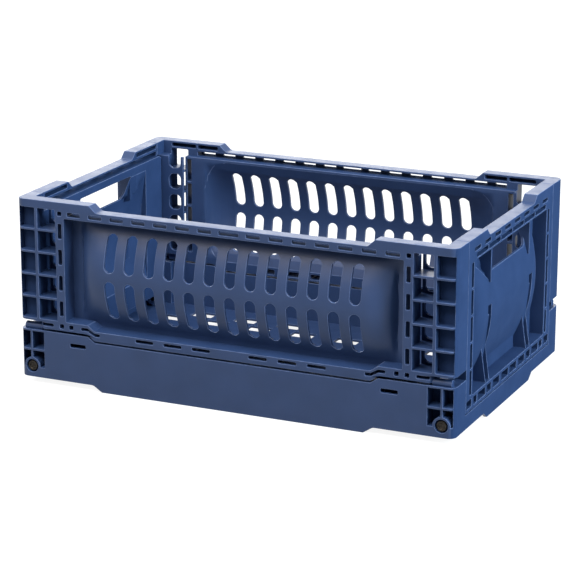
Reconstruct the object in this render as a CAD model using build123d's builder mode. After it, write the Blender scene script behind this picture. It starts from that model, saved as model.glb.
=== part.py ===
"""Folding plastic crate, opened: a base tray, two long panels, two end panels and four pivot pins."""

import os
from math import cos, radians, sin, sqrt

from build123d import *

os.makedirs("parts", exist_ok=True)

# Overall size in millimetres: X is the length, Y the width, Z is up from the lowest edge
LENGTH = 265.0
WIDTH = 174.0
CORNER_HEIGHT = 105.0
CORNER_RADIUS = 4.5

# Crates stack: the middle of the base hangs below the corners and drops into the dip of the rim.
# A setback is a distance in from an end or a side of the crate
FOOT_DROP = 3.6
FOOT_SETBACK_LONG = 52.4
FOOT_SETBACK_SHORT = 52.0
FOOT_SLOPE = 5.5
STACK_CLEARANCE = 0.4
DIP_SETBACK_LONG = 51.0
DIP_SETBACK_SHORT = 50.0
DIP_SLOPE = 4.5

# Walls of the mouldings
WALL = 1.6
RIB = 1.3
CUT = 1.0

# Base tray
BASE_HEIGHT = 28.5
BASE_DIP = 3.2
BASE_DIP_SETBACK = 48.5
BASE_DIP_SLOPE = 4.5
FLOOR = 1.6
HOLE_LONG = 14.4
HOLE_WIDE = 9.3
NEAR_ROW_SETBACK = 41.4
NEAR_ROW_HOLES = 8
FAR_ROW_SETBACK = 28.4
FAR_ROW_HOLES = (-3, -2, -1, 1, 2, 3)
SILL = 2.8
SILL_HEIGHT = 8.3
POST_WIDTH = 15.5
SKIRT = 2.0
SKIRT_CELLS = 8
UNDER_RIBS_LONG = 5
UNDER_RIBS_SHORT = 3
UNDER_RIB_SETBACK = 49.0
SLIT_SETBACK = 32.5
SLIT_LONG = 10.0
SLIT_LOW = 20.7
SLIT_HEIGHT = 2.4
GRID_LOW = 6.0
GRID_HEIGHT = 21.4
GRID_DEPTH = 9.0
GRID_SHELF = 16.4
BOSS_RADIUS = 5.1
SEAT_RADIUS = 3.8

# Long panels: a frame round a bulged plate, with a corner column at each end
PANEL_DEPTH = 12.0
COLUMN_DEPTH = 15.0
RETURN_DEPTH = 17.0
RETURN_WALL = 6.2
RIM_WIDTH = 8.0
RIM_CAP = 1.2
RAIL_HEIGHT = 5.3
SHELF = 1.2
FOOT_RAIL = 5.7
HINGE_GAP = 1.1
OPENING_SETBACK = 30.2
COLUMN_WIDTH = 24.7
COLUMN_LIFT = 4.4
COLUMN_FOOT_SETBACK = 12.5

# Bulged plate of a long panel: a low arch of flats that runs into the rails, with rounded ends
BULGE_CREST = 0.4
BULGE_LAP = 0.6
BULGE_SETBACK = 52.5
BULGE_RUN = 16.0
BULGE_STEPS = (-1, -0.84, -0.45, 0, 0.45, 0.84, 1)
END_SLICES = (0, 30, 58, 86)

# Slots of a long panel; the rows and lengths of the plate's slots are shares of the bulge's half height
SLOT_COUNT = 13
SLOT_WIDTH = 6.4
SLOT_CHAMFER = 1.9
SLOT_MARGIN = 0.6
SLOT_SHARE = 0.708
SLOT_ROWS = (0.458, -0.408)
RIM_SLOT = 8.2
RIM_SLOT_MIDDLE = 12.0
RIM_SLOT_HEIGHT = 2.4
RIM_SLOT_FIRST = 14.6
RIM_SLOT_MARGIN = 6.3
RIM_SLOT_PAIRS = 7
STRIP_SLOT_WIDTH = 2.4
STRIP_SLOT_HEIGHT = 8.8
STRIP_SLOTS = 4
FOOT_SLOT = 11.0
FOOT_SLOT_FIRST = 17.3
FOOT_SLOT_PITCH = 17.6
FOOT_SLOT_PAIRS = 3
FOOT_SLOT_HEIGHT = 1.8
FOOT_SLOT_DEPTH = 5.0
STEP_SLOT_IN = 3.2
STEP_SLOT_OUT = 4.1
PEEP_HOLE = 2.6
FOOT_SQUARE_SETBACK = 33.5
END_FOOT_SLOT_SETBACK = 18.4
END_FOOT_SLOT = 7.3

# Pockets of a corner column
COLUMN_ROWS = 5
COLUMN_LEDGE = 1.5
COLUMN_CAP = 4.7
COLUMN_RIB_SETBACK = 12.3
COLUMN_RIB = 1.8
OUTER_POCKET = 5.8
WINDOW_WIDTH = 8.0
WINDOW_HEIGHT = 9.6
WINDOW_CHAMFER = 2.0

# Moulded pegs on which the long panels hang in the base
PEG_RADIUS = 2.2
PEG_SETBACK = 3.8
PEG_RISE = 1.3
PEG_END_SETBACK = 2.5
PEG_CLEARANCE = 0.1

# End panels, hinged low on the pins
END_DEPTH = 10.0
SIDE_CLEARANCE = 0.3
END_GAP = 0.7
END_RAIL = 8.0
END_HEADER = 3.4
END_FRAME = 10.2
END_BULGE_INSET = 17.7
END_BULGE_RADIUS = 75.0
END_BULGE_CREST = 0.2
END_BULGE_RAISE = 3.3
HANDLE_HALF = 31.0
HANDLE_HEIGHT = 14.3
HANDLE_RADIUS = 5.0
END_SLOT = 9.3
END_SLOT_HEIGHT = 2.0
END_SLOT_MARGIN = 5.7
END_SLOTS = 8
END_POCKETS = 6
END_POCKET_HEIGHT = 2.6
END_POCKET_DEPTH = 5.0
SIDE_GROOVE_INSET = 6.9
SIDE_GROOVE = 3.0
SIDE_GROOVE_CELLS = 5
SIDE_GROOVE_DEPTH = 6.0
RAIL_POCKETS = ((0.1, 11.0), (0.305, 10.4), (0.473, 6.7), (0.641, 11.6), (0.79, 5.0), (0.927, 7.4))
RAIL_POCKET_HEIGHT = 4.5
RAIL_POCKET_DEPTH = 5.0
GUSSET_OFFSET = 3.0
GUSSET_HEIGHT = 19.0
FIN = 0.9
FIN_GAP = 1.3
GROOVE_DEPTH = 2.6
GROOVE_RISE = 2.7
GROOVE_POCKET = 6.2
STOP_LAP = 1.6
STOP_CLEARANCE = 0.3

# Pivot pins along Y
PIN_SETBACK = 7.4
PIN_HEIGHT = 6.6
PIN_RADIUS = 1.6
PIN_HEAD_RADIUS = 2.9
PIN_HEAD = 2.2
PIN_RECESS = 0.5
PIN_REACH = 25.0
PIN_SEAT_CLEARANCE = 0.05
PIN_RUNNING_CLEARANCE = 0.08
LUG_RADIUS = 4.0
LUG_WIDTH = 8.7

# Places along the length and the width, worked out from the sizes above
half_length = LENGTH / 2
half_width = WIDTH / 2
foot_long = half_length - FOOT_SETBACK_LONG
foot_short = half_width - FOOT_SETBACK_SHORT
dip_long = half_length - DIP_SETBACK_LONG
dip_short = half_width - DIP_SETBACK_SHORT
base_dip = half_length - BASE_DIP_SETBACK
slope_end = base_dip + BASE_DIP_SLOPE
post_in = half_length - POST_WIDTH
slit_far = half_length - SLIT_SETBACK
under_reach = half_width - UNDER_RIB_SETBACK
hole_pitch = 2 * post_in / NEAR_ROW_HOLES
near_row = half_width - NEAR_ROW_SETBACK
far_row = half_width - FAR_ROW_SETBACK
opening_long = half_length - OPENING_SETBACK
column_in = half_length - COLUMN_WIDTH
column_foot_x = half_length - COLUMN_FOOT_SETBACK
column_rib_x = half_length - COLUMN_RIB_SETBACK
strip_x = (opening_long + column_in) / 2
bulge_long = half_length - BULGE_SETBACK
slot_pitch = 2 * (bulge_long + SLOT_MARGIN) / SLOT_COUNT
rim_slot_pitch = (opening_long - RIM_SLOT_MARGIN - RIM_SLOT_FIRST) / (RIM_SLOT_PAIRS - 1)
step_slot_near = base_dip - STEP_SLOT_IN
step_slot_far = slope_end + STEP_SLOT_OUT
foot_square_x = half_length - FOOT_SQUARE_SETBACK
end_foot_slot_x = half_length - END_FOOT_SLOT_SETBACK
return_face = half_width - RETURN_DEPTH
column_face = half_width - COLUMN_DEPTH
panel_face = half_width - PANEL_DEPTH
return_in = half_length - RETURN_WALL
end_half = return_face - SIDE_CLEARANCE
end_inside = half_length - END_DEPTH
end_opening = end_half - END_FRAME
end_bulge_half = end_half - END_BULGE_INSET
end_slot_pitch = 2 * (end_half - END_SLOT_MARGIN) / END_SLOTS
end_pocket_pitch = 2 * (end_opening - WALL) / END_POCKETS
side_groove_y = end_half - SIDE_GROOVE_INSET
gusset_y = HANDLE_HALF + GUSSET_OFFSET
crest = half_length - END_BULGE_CREST
arc_centre = crest - END_BULGE_RADIUS
groove_floor = crest - GROOVE_DEPTH
pin_x = half_length - PIN_SETBACK
peg_end = half_length - PEG_END_SETBACK
peg_y = half_width - PEG_SETBACK

# Heights, counted from the lowest edge
top = FOOT_DROP + CORNER_HEIGHT
rim_low = top - FOOT_DROP - STACK_CLEARANCE
rail_low = rim_low - RAIL_HEIGHT
shelf_top = rail_low + SHELF
cap_under = rim_low - RIM_CAP
slot_z = (shelf_top + cap_under) / 2
raised_low = rim_low + STACK_CLEARANCE
raised_top = top - RIM_CAP
base_top = FOOT_DROP + BASE_HEIGHT
base_low = base_top - BASE_DIP
floor_top = FOOT_DROP + FLOOR
sill_top = FOOT_DROP + SILL_HEIGHT
panel_foot = base_top + HINGE_GAP
panel_foot_low = base_low + HINGE_GAP
column_foot = panel_foot + COLUMN_LIFT
column_low = column_foot + COLUMN_LEDGE
opening_low = panel_foot + FOOT_RAIL
opening_dip = panel_foot_low + FOOT_RAIL
bulge_middle = (opening_dip + rail_low) / 2
bulge_half = (rail_low - opening_dip) / 2 + BULGE_LAP
row_pitch = (top - COLUMN_CAP + RIB - column_low) / COLUMN_ROWS
strip_pitch = (rail_low - opening_low) / STRIP_SLOTS
end_foot = sill_top + END_GAP
end_rail_top = end_foot + END_RAIL
end_open_top = rail_low - END_HEADER
handle_low = end_open_top - HANDLE_HEIGHT
end_bulge_z = (end_rail_top + end_open_top) / 2 + END_BULGE_RAISE
gusset_top = end_rail_top + GUSSET_HEIGHT
groove_top = end_bulge_z + GROOVE_RISE
pin_z = FOOT_DROP + PIN_HEIGHT
peg_z = base_top + PEG_RISE

front_face = Plane.XZ.offset(half_width)
right_face = Plane.YZ.offset(half_length)


def patch(left, right, low, high, mode=Mode.ADD):
    """Rectangle between two places along and two places up the sketch plane"""
    with Locations(((left + right) / 2, (low + high) / 2)):
        Rectangle(right - left, high - low, mode=mode)


def both_patches(near, far, low, high):
    """The same rectangle on both sides of the middle"""
    patch(near, far, low, high)
    patch(-far, -near, low, high)


def bulge_slice(angle, wall):
    """Upright slice of the long panel's bulge, set in by a wall; it sinks along the rounded end"""
    inset = wall / 2
    reach = bulge_long + (BULGE_RUN - inset) * sin(radians(angle))
    rise = PANEL_DEPTH - WALL - BULGE_CREST
    half = bulge_half - inset
    margin = -half_width + PANEL_DEPTH - WALL + wall + rise * (1 - cos(radians(angle)))
    curve = [(margin - rise * (1 - step**2), bulge_middle + half * step) for step in BULGE_STEPS]
    with BuildSketch(Plane.YZ.offset(reach)) as upright:
        Polygon(
            *curve,
            (margin + WALL, bulge_middle + half),
            (margin + WALL, bulge_middle - half),
            align=None,
        )
    return upright.sketch


def bulge(wall, mode):
    """Whole bulge of the long panel: the straight middle and both rounded ends"""
    slices = [bulge_slice(angle, wall) for angle in END_SLICES]
    extrude(slices[0], amount=-2 * bulge_long, mode=mode)
    rounded_end = loft(slices, ruled=True, mode=mode)
    mirror(rounded_end, about=Plane.YZ, mode=mode)


# Base tray
with BuildPart() as base_tray:
    with BuildSketch(Plane.XY.offset(FOOT_DROP)):
        RectangleRounded(LENGTH, WIDTH, CORNER_RADIUS)
    extrude(amount=BASE_HEIGHT)

    # Lower edges of the skirt between the corners
    with BuildSketch(front_face):
        Polygon(
            (-foot_long, 0),
            (foot_long, 0),
            (foot_long + FOOT_SLOPE, FOOT_DROP),
            (-foot_long - FOOT_SLOPE, FOOT_DROP),
            align=None,
        )
    skirt_front = extrude(amount=-SKIRT)
    mirror(skirt_front, about=Plane.XZ)
    with BuildSketch(right_face):
        Polygon(
            (-foot_short, 0),
            (foot_short, 0),
            (foot_short + FOOT_SLOPE, FOOT_DROP),
            (-foot_short - FOOT_SLOPE, FOOT_DROP),
            align=None,
        )
    skirt_right = extrude(amount=-SKIRT)
    mirror(skirt_right, about=Plane.YZ)

    # Ribs under the floor, level with the skirt
    with BuildSketch():
        with GridLocations(2 * foot_long / (UNDER_RIBS_LONG - 1), 0, UNDER_RIBS_LONG, 1):
            Rectangle(RIB, 2 * under_reach)
        with GridLocations(0, under_reach, 1, UNDER_RIBS_SHORT):
            Rectangle(2 * foot_long + RIB, RIB)
    extrude(amount=FOOT_DROP)

    # Inside of the tray, stepped round the corner posts
    with BuildSketch(Plane.XY.offset(floor_top)):
        Rectangle(2 * post_in, 2 * panel_face)
        Rectangle(2 * return_in, 2 * column_face)
        Rectangle(LENGTH - 2 * SILL, 2 * return_face)
    extrude(amount=BASE_HEIGHT, mode=Mode.SUBTRACT)
    with BuildSketch(Plane.XY.offset(sill_top)):
        Rectangle(LENGTH + CUT, 2 * return_face)
    extrude(amount=BASE_HEIGHT, mode=Mode.SUBTRACT)

    # Holes in the floor along both long sides
    with BuildSketch():
        with GridLocations(hole_pitch, 2 * near_row, NEAR_ROW_HOLES, 2):
            Rectangle(HOLE_LONG, HOLE_WIDE)
        for place in FAR_ROW_HOLES:
            with Locations((place * hole_pitch, -far_row), (place * hole_pitch, far_row)):
                Rectangle(HOLE_LONG, HOLE_WIDE)
    extrude(amount=floor_top, mode=Mode.SUBTRACT)

    # Dip in the top of the long sides
    with BuildSketch(Plane.XZ):
        Polygon(
            (-base_dip, base_low),
            (base_dip, base_low),
            (slope_end, base_top),
            (-slope_end, base_top),
            align=None,
        )
    extrude(amount=WIDTH, both=True, mode=Mode.SUBTRACT)

    # Cells that hollow the long sides from below
    cell_wide = 2 * post_in / SKIRT_CELLS - RIB
    cell_deep = PANEL_DEPTH - 2 * SKIRT
    with BuildSketch(Plane.XY):
        with GridLocations(cell_wide + RIB, WIDTH - PANEL_DEPTH, SKIRT_CELLS, 2):
            Rectangle(cell_wide, cell_deep)
    extrude(amount=base_low - SKIRT, mode=Mode.SUBTRACT)

    # Slits through the skirt beside the corners
    with BuildSketch(front_face):
        slit_low = FOOT_DROP + SLIT_LOW
        both_patches(slit_far - SLIT_LONG, slit_far, slit_low, slit_low + SLIT_HEIGHT)
    slits = extrude(amount=-SKIRT, mode=Mode.SUBTRACT)
    mirror(slits, about=Plane.XZ, mode=Mode.SUBTRACT)

    # Grid of pockets on the front of each corner post, round the boss of the pin
    grid_low = FOOT_DROP + GRID_LOW
    grid_shelf = FOOT_DROP + GRID_SHELF
    with BuildSketch(front_face):
        both_patches(post_in, pin_x - RIB / 2, grid_low, grid_shelf - RIB / 2)
        both_patches(pin_x + RIB / 2, half_length - RIB, grid_low, grid_shelf - RIB / 2)
        both_patches(post_in, pin_x - RIB / 2, grid_shelf + RIB / 2, grid_low + GRID_HEIGHT)
        both_patches(pin_x + RIB / 2, half_length - RIB, grid_shelf + RIB / 2, grid_low + GRID_HEIGHT)
        with Locations((pin_x, pin_z), (-pin_x, pin_z)):
            Circle(BOSS_RADIUS, mode=Mode.SUBTRACT)
    grid = extrude(amount=-GRID_DEPTH, mode=Mode.SUBTRACT)
    mirror(grid, about=Plane.XZ, mode=Mode.SUBTRACT)

    # Bores for the pins, with a wider seat round each head
    with BuildSketch(front_face):
        with Locations((pin_x, pin_z), (-pin_x, pin_z)):
            Circle(PIN_RADIUS + PIN_SEAT_CLEARANCE)
    bores = extrude(amount=-RETURN_DEPTH, mode=Mode.SUBTRACT)
    mirror(bores, about=Plane.XZ, mode=Mode.SUBTRACT)
    with BuildSketch(front_face):
        with Locations((pin_x, pin_z), (-pin_x, pin_z)):
            Circle(SEAT_RADIUS)
    seats = extrude(amount=-PIN_RECESS - PIN_HEAD, mode=Mode.SUBTRACT)
    mirror(seats, about=Plane.XZ, mode=Mode.SUBTRACT)

    # Saddles in the post tops for the pegs of the long panels
    with BuildSketch(Plane.YZ.offset(post_in)):
        with Locations((-peg_y, peg_z), (peg_y, peg_z)):
            Circle(PEG_RADIUS + PEG_CLEARANCE)
    saddles = extrude(amount=peg_end + PEG_CLEARANCE - post_in, mode=Mode.SUBTRACT)
    mirror(saddles, about=Plane.YZ, mode=Mode.SUBTRACT)
base_tray.part.label = "base_tray"
export_step(base_tray.part, "parts/base_tray.step")


# Front long panel, modelled from its outer face inwards
with BuildPart() as front_panel:
    # Frame with the dip of the rim and the dip of the foot
    with BuildSketch(front_face):
        with BuildLine():
            Polyline(
                (0, panel_foot_low),
                (base_dip, panel_foot_low),
                (slope_end, panel_foot),
                (column_foot_x, panel_foot),
                (column_foot_x, column_foot),
                (half_length, column_foot),
                (half_length, top),
                (dip_long + DIP_SLOPE, top),
                (dip_long, rim_low),
                (0, rim_low),
            )
            mirror(about=Plane.YZ)
        make_face()
    extrude(amount=-PANEL_DEPTH)

    # Deeper corner columns, and the returns that close the corners
    with BuildSketch(front_face):
        both_patches(column_in, half_length, column_foot, shelf_top)
    extrude(amount=-COLUMN_DEPTH)
    with BuildSketch(front_face):
        both_patches(return_in, half_length, column_foot, shelf_top)
        both_patches(half_length - RIM_WIDTH, half_length, shelf_top, top)
    extrude(amount=-RETURN_DEPTH)
    fillet(front_panel.edges().filter_by(Axis.Z).group_by(Axis.Y)[0], radius=CORNER_RADIUS)

    # The rim is narrower than the frame below it
    with BuildSketch(Plane.XZ.offset(half_width - RIM_WIDTH)):
        patch(RIM_WIDTH - half_length, half_length - RIM_WIDTH, shelf_top, top)
    extrude(amount=-PANEL_DEPTH, mode=Mode.SUBTRACT)

    # Opening of the frame, closed at the back by the margin of the plate
    with BuildSketch(front_face):
        with BuildLine():
            Polyline(
                (0, opening_dip),
                (base_dip, opening_dip),
                (slope_end, opening_low),
                (opening_long, opening_low),
                (opening_long, rail_low),
                (0, rail_low),
            )
            mirror(about=Plane.YZ)
        make_face()
    extrude(amount=WALL - PANEL_DEPTH, mode=Mode.SUBTRACT)

    # Bulged plate: swelled outwards, hollow behind, with two rows of upright slots
    bulge(0, Mode.ADD)
    with BuildSketch(Plane.XZ.offset(panel_face)):
        patch(-opening_long, opening_long, opening_dip - BULGE_LAP, rail_low + BULGE_LAP)
    extrude(amount=-PANEL_DEPTH, mode=Mode.SUBTRACT)
    bulge(WALL, Mode.SUBTRACT)
    with BuildSketch(front_face) as plate_slots:
        for row in SLOT_ROWS:
            with Locations((0, bulge_middle + row * bulge_half)):
                with GridLocations(slot_pitch, 0, SLOT_COUNT, 1):
                    Rectangle(SLOT_WIDTH, SLOT_SHARE * bulge_half)
        chamfer(plate_slots.vertices(), length=SLOT_CHAMFER)
    extrude(amount=-PANEL_DEPTH, mode=Mode.SUBTRACT)

    # Grooves that open the rim to the inside, one more above in the raised corners
    with BuildSketch(Plane.XZ.offset(half_width - WALL)):
        patch(RIB - opening_long, opening_long - RIB, shelf_top, cap_under)
        both_patches(dip_long + DIP_SLOPE + RIB, opening_long - RIB, raised_low, raised_top)
        both_patches(opening_long, column_rib_x - RIB, raised_low, raised_top)
    extrude(amount=-PANEL_DEPTH, mode=Mode.SUBTRACT)

    # Slots through the outer wall of the rim
    with BuildSketch(front_face):
        with Locations((0, slot_z)):
            Rectangle(RIM_SLOT_MIDDLE, RIM_SLOT_HEIGHT)
        for pair in range(RIM_SLOT_PAIRS):
            slot_x = RIM_SLOT_FIRST + pair * rim_slot_pitch
            with Locations((slot_x, slot_z), (-slot_x, slot_z)):
                Rectangle(RIM_SLOT, RIM_SLOT_HEIGHT)
    extrude(amount=-WALL, mode=Mode.SUBTRACT)

    # Narrow channel beside each column, open to the inside, with slots to the outside
    with BuildSketch(Plane.XZ.offset(half_width - WALL)):
        for row in range(STRIP_SLOTS):
            low = opening_low + row * strip_pitch
            both_patches(opening_long + RIB, column_in - RIB, low + RIB / 2, low + strip_pitch - RIB / 2)
    extrude(amount=-COLUMN_DEPTH, mode=Mode.SUBTRACT)
    with BuildSketch(front_face):
        for row in range(STRIP_SLOTS):
            middle = opening_low + row * strip_pitch + strip_pitch / 2
            with Locations((strip_x, middle), (-strip_x, middle)):
                Rectangle(STRIP_SLOT_WIDTH, STRIP_SLOT_HEIGHT)
    extrude(amount=-WALL, mode=Mode.SUBTRACT)

    # Columns: deep pockets with windows to the inside, shallow pockets on the corner
    row_lows = [column_low + row * row_pitch for row in range(COLUMN_ROWS)]
    deep_far = column_rib_x - COLUMN_RIB / 2
    with BuildSketch(front_face):
        for low in row_lows:
            both_patches(column_in, deep_far, low, low + row_pitch - RIB)
    extrude(amount=WALL - COLUMN_DEPTH, mode=Mode.SUBTRACT)
    with BuildSketch(front_face):
        for low in row_lows:
            both_patches(deep_far + COLUMN_RIB, half_length - RIB, low, low + row_pitch - RIB)
    extrude(amount=-OUTER_POCKET, mode=Mode.SUBTRACT)
    window_x = (column_in + deep_far) / 2
    with BuildSketch(front_face) as windows:
        for low in row_lows:
            middle = low + (row_pitch - RIB) / 2
            with Locations((window_x, middle), (-window_x, middle)):
                Rectangle(WINDOW_WIDTH, WINDOW_HEIGHT)
        chamfer(windows.vertices(), length=WINDOW_CHAMFER)
    extrude(amount=-COLUMN_DEPTH, mode=Mode.SUBTRACT)

    # Slots along the foot rail, with hollows behind them that open to the inside
    foot_z = (panel_foot_low + opening_dip) / 2 + RIB / 2
    high_z = (panel_foot + opening_low) / 2
    tall = FOOT_SLOT_HEIGHT / 2
    with BuildSketch(front_face):
        for pair in range(FOOT_SLOT_PAIRS):
            slot_x = FOOT_SLOT_FIRST + pair * FOOT_SLOT_PITCH
            with Locations((slot_x, foot_z), (-slot_x, foot_z)):
                Rectangle(FOOT_SLOT, FOOT_SLOT_HEIGHT)
        with BuildLine():
            Polyline(
                (step_slot_near, foot_z - tall),
                (base_dip, foot_z - tall),
                (slope_end, high_z - tall),
                (step_slot_far, high_z - tall),
                (step_slot_far, high_z + tall),
                (slope_end, high_z + tall),
                (base_dip, foot_z + tall),
                (step_slot_near, foot_z + tall),
                close=True,
            )
        make_face()
        mirror(about=Plane.YZ)
        with Locations((end_foot_slot_x, high_z), (-end_foot_slot_x, high_z)):
            Rectangle(END_FOOT_SLOT, FOOT_SLOT_HEIGHT)
        with Locations((foot_square_x, high_z), (-foot_square_x, high_z)):
            Rectangle(PEEP_HOLE, PEEP_HOLE)
        with Locations((strip_x, high_z), (-strip_x, high_z)):
            Rectangle(PEEP_HOLE, PEEP_HOLE)
        with Locations((strip_x, slot_z), (-strip_x, slot_z)):
            Rectangle(PEEP_HOLE, PEEP_HOLE)
    extrude(amount=-FOOT_SLOT_DEPTH, mode=Mode.SUBTRACT)
    hollow_low = panel_foot_low + RIB
    hollow_top = opening_dip - RIB
    with BuildSketch(Plane.XZ.offset(half_width - WALL)):
        for pair in range(FOOT_SLOT_PAIRS):
            slot_x = FOOT_SLOT_FIRST + pair * FOOT_SLOT_PITCH
            both_patches(slot_x - FOOT_SLOT / 2, slot_x + FOOT_SLOT / 2, hollow_low, hollow_top)
        both_patches(step_slot_near, base_dip, hollow_low, hollow_top)
    extrude(amount=-PANEL_DEPTH, mode=Mode.SUBTRACT)

    # Hinge pegs under the columns
    with BuildSketch(Plane.YZ.offset(column_foot_x - CUT)):
        with Locations((-peg_y, peg_z)):
            Circle(PEG_RADIUS)
    peg = extrude(amount=peg_end - column_foot_x + CUT)
    mirror(peg, about=Plane.YZ)
front_panel.part.label = "front_panel"
export_step(front_panel.part, "parts/front_panel.step")

# Back long panel: the same moulding turned round
with BuildPart() as back_panel:
    mirror(front_panel.part, about=Plane.XZ)
back_panel.part.label = "back_panel"
export_step(back_panel.part, "parts/back_panel.step")

# Right end panel, modelled from its outer face inwards
with BuildPart() as right_end:
    with BuildSketch(right_face):
        with BuildLine():
            Polyline(
                (0, end_foot),
                (end_half, end_foot),
                (end_half, top),
                (dip_short + DIP_SLOPE, top),
                (dip_short, rim_low),
                (0, rim_low),
            )
            mirror(about=Plane.YZ)
        make_face()
    extrude(amount=-END_DEPTH)
    with BuildSketch(Plane.YZ.offset(half_length - RIM_WIDTH)):
        patch(-end_half, end_half, shelf_top, top)
    extrude(amount=-END_DEPTH, mode=Mode.SUBTRACT)

    # Lips that stop against the returns of the long panels
    with BuildSketch(Plane.YZ.offset(return_in - STOP_CLEARANCE)):
        both_patches(end_half - CUT, end_half + STOP_LAP, end_rail_top, rail_low)
    extrude(amount=end_inside - return_in + STOP_CLEARANCE)

    # Opening, closed at the back by the margin of the plate
    with BuildSketch(right_face):
        patch(-end_opening, end_opening, end_rail_top, end_open_top)
    extrude(amount=WALL - END_DEPTH, mode=Mode.SUBTRACT)

    # Bulged plate with the gussets and the walls of the hand hole
    with BuildSketch(Plane.XZ):
        with Locations((arc_centre, end_bulge_z)):
            Circle(END_BULGE_RADIUS)
        patch(end_inside, half_length, end_rail_top, end_open_top, Mode.INTERSECT)
    extrude(amount=end_bulge_half, both=True)
    arc_drop = END_BULGE_RADIUS - sqrt(END_BULGE_RADIUS**2 - (end_bulge_z - gusset_top) ** 2)
    with BuildSketch(Plane.XZ.offset(gusset_y)):
        Polygon(
            (end_inside, end_rail_top),
            (half_length - RIB / 2, end_rail_top),
            (crest - arc_drop, gusset_top),
            (end_inside, gusset_top),
            align=None,
        )
    gusset = extrude(amount=FIN_GAP / 2 + FIN, both=True)
    mirror(gusset, about=Plane.XZ)
    with BuildSketch(Plane.YZ.offset(half_length - RIB / 2)):
        both_patches(HANDLE_HALF, HANDLE_HALF + WALL, handle_low - HANDLE_RADIUS, end_open_top)
    extrude(amount=RIB / 2 - END_DEPTH)

    # Hollow behind the bulge, backed where the grooves come, then the hand hole
    with BuildSketch(Plane.XZ):
        with Locations((arc_centre, end_bulge_z)):
            Circle(END_BULGE_RADIUS - WALL)
        patch(end_inside - CUT, half_length, end_rail_top, end_open_top, Mode.INTERSECT)
    extrude(amount=end_bulge_half - WALL, both=True, mode=Mode.SUBTRACT)
    with BuildSketch(Plane.XZ.offset(gusset_y)):
        with Locations((arc_centre, end_bulge_z)):
            Circle(END_BULGE_RADIUS)
        patch(groove_floor - WALL, half_length, gusset_top, groove_top + WALL, Mode.INTERSECT)
    backing = extrude(amount=FIN_GAP / 2 + FIN, both=True)
    mirror(backing, about=Plane.XZ)
    with BuildSketch(right_face) as hand_hole:
        patch(-HANDLE_HALF, HANDLE_HALF, handle_low, end_open_top)
        fillet(hand_hole.vertices().group_by(Axis.Y)[0], radius=HANDLE_RADIUS)
    extrude(amount=-END_DEPTH, mode=Mode.SUBTRACT)

    # Gap between the fins of each gusset, running up the bulge to a small pocket
    with BuildSketch(Plane.XZ.offset(gusset_y)):
        Polygon(
            (half_length, end_rail_top),
            (end_inside + 2 * WALL, end_rail_top),
            (crest - arc_drop, gusset_top),
            (crest - GROOVE_DEPTH / 2, groove_top - GROOVE_POCKET),
            (groove_floor, groove_top - GROOVE_POCKET),
            (groove_floor, groove_top),
            (half_length, groove_top),
            align=None,
        )
    groove = extrude(amount=FIN_GAP / 2, both=True, mode=Mode.SUBTRACT)
    mirror(groove, about=Plane.XZ, mode=Mode.SUBTRACT)

    # Grooves that open the rim to the inside, slots through it and pockets under it
    with BuildSketch(Plane.YZ.offset(half_length - WALL)):
        patch(RIB - end_half, end_half - RIB, shelf_top, cap_under)
        both_patches(dip_short + DIP_SLOPE + RIB, end_half - RIB, raised_low, raised_top)
    extrude(amount=-END_DEPTH, mode=Mode.SUBTRACT)
    with BuildSketch(right_face):
        with Locations((0, slot_z)):
            with GridLocations(end_slot_pitch, 0, END_SLOTS, 1):
                Rectangle(END_SLOT, END_SLOT_HEIGHT)
    extrude(amount=-WALL, mode=Mode.SUBTRACT)
    with BuildSketch(right_face):
        with Locations((0, (end_open_top + shelf_top) / 2)):
            with GridLocations(end_pocket_pitch, 0, END_POCKETS, 1):
                Rectangle(end_pocket_pitch - RIB, END_POCKET_HEIGHT)
    extrude(amount=-END_POCKET_DEPTH, mode=Mode.SUBTRACT)

    # Bridged grooves down both sides and pockets along the foot rail
    cell_pitch = (end_open_top - end_rail_top) / SIDE_GROOVE_CELLS
    with BuildSketch(right_face):
        with Locations((0, (end_open_top + end_rail_top) / 2)):
            with GridLocations(2 * side_groove_y, cell_pitch, 2, SIDE_GROOVE_CELLS):
                Rectangle(SIDE_GROOVE, cell_pitch - RIB)
    extrude(amount=-SIDE_GROOVE_DEPTH, mode=Mode.SUBTRACT)
    rail_z = (end_foot + end_rail_top) / 2
    with BuildSketch(right_face):
        for share, pocket in RAIL_POCKETS:
            pocket_y = share * end_half
            with Locations((pocket_y, rail_z), (-pocket_y, rail_z)):
                Rectangle(pocket, RAIL_POCKET_HEIGHT)
    extrude(amount=-RAIL_POCKET_DEPTH, mode=Mode.SUBTRACT)

    # Lugs that turn on the pins
    with BuildSketch(Plane.XZ.offset(end_half)):
        with Locations((pin_x, pin_z)):
            Circle(LUG_RADIUS)
        patch(end_inside, pin_x + LUG_RADIUS, pin_z, end_foot)
        with Locations((pin_x, pin_z)):
            Circle(PIN_RADIUS + PIN_RUNNING_CLEARANCE, mode=Mode.SUBTRACT)
    lug = extrude(amount=-LUG_WIDTH)
    mirror(lug, about=Plane.XZ)
right_end.part.label = "right_end"
export_step(right_end.part, "parts/right_end.step")

# Left end panel: the same moulding turned round
with BuildPart() as left_end:
    mirror(right_end.part, about=Plane.YZ)
left_end.part.label = "left_end"
export_step(left_end.part, "parts/left_end.step")

# Pivot pins: a flat head and a plain shank
with BuildPart() as front_right_pin:
    with BuildSketch(Plane.XZ.offset(half_width - PIN_RECESS)):
        with Locations((pin_x, pin_z)):
            Circle(PIN_RADIUS)
    extrude(amount=-PIN_REACH)
    with BuildSketch(Plane.XZ.offset(half_width - PIN_RECESS)):
        with Locations((pin_x, pin_z)):
            Circle(PIN_HEAD_RADIUS)
    extrude(amount=-PIN_HEAD)
front_right_pin.part.label = "front_right_pin"
export_step(front_right_pin.part, "parts/front_right_pin.step")

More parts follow.
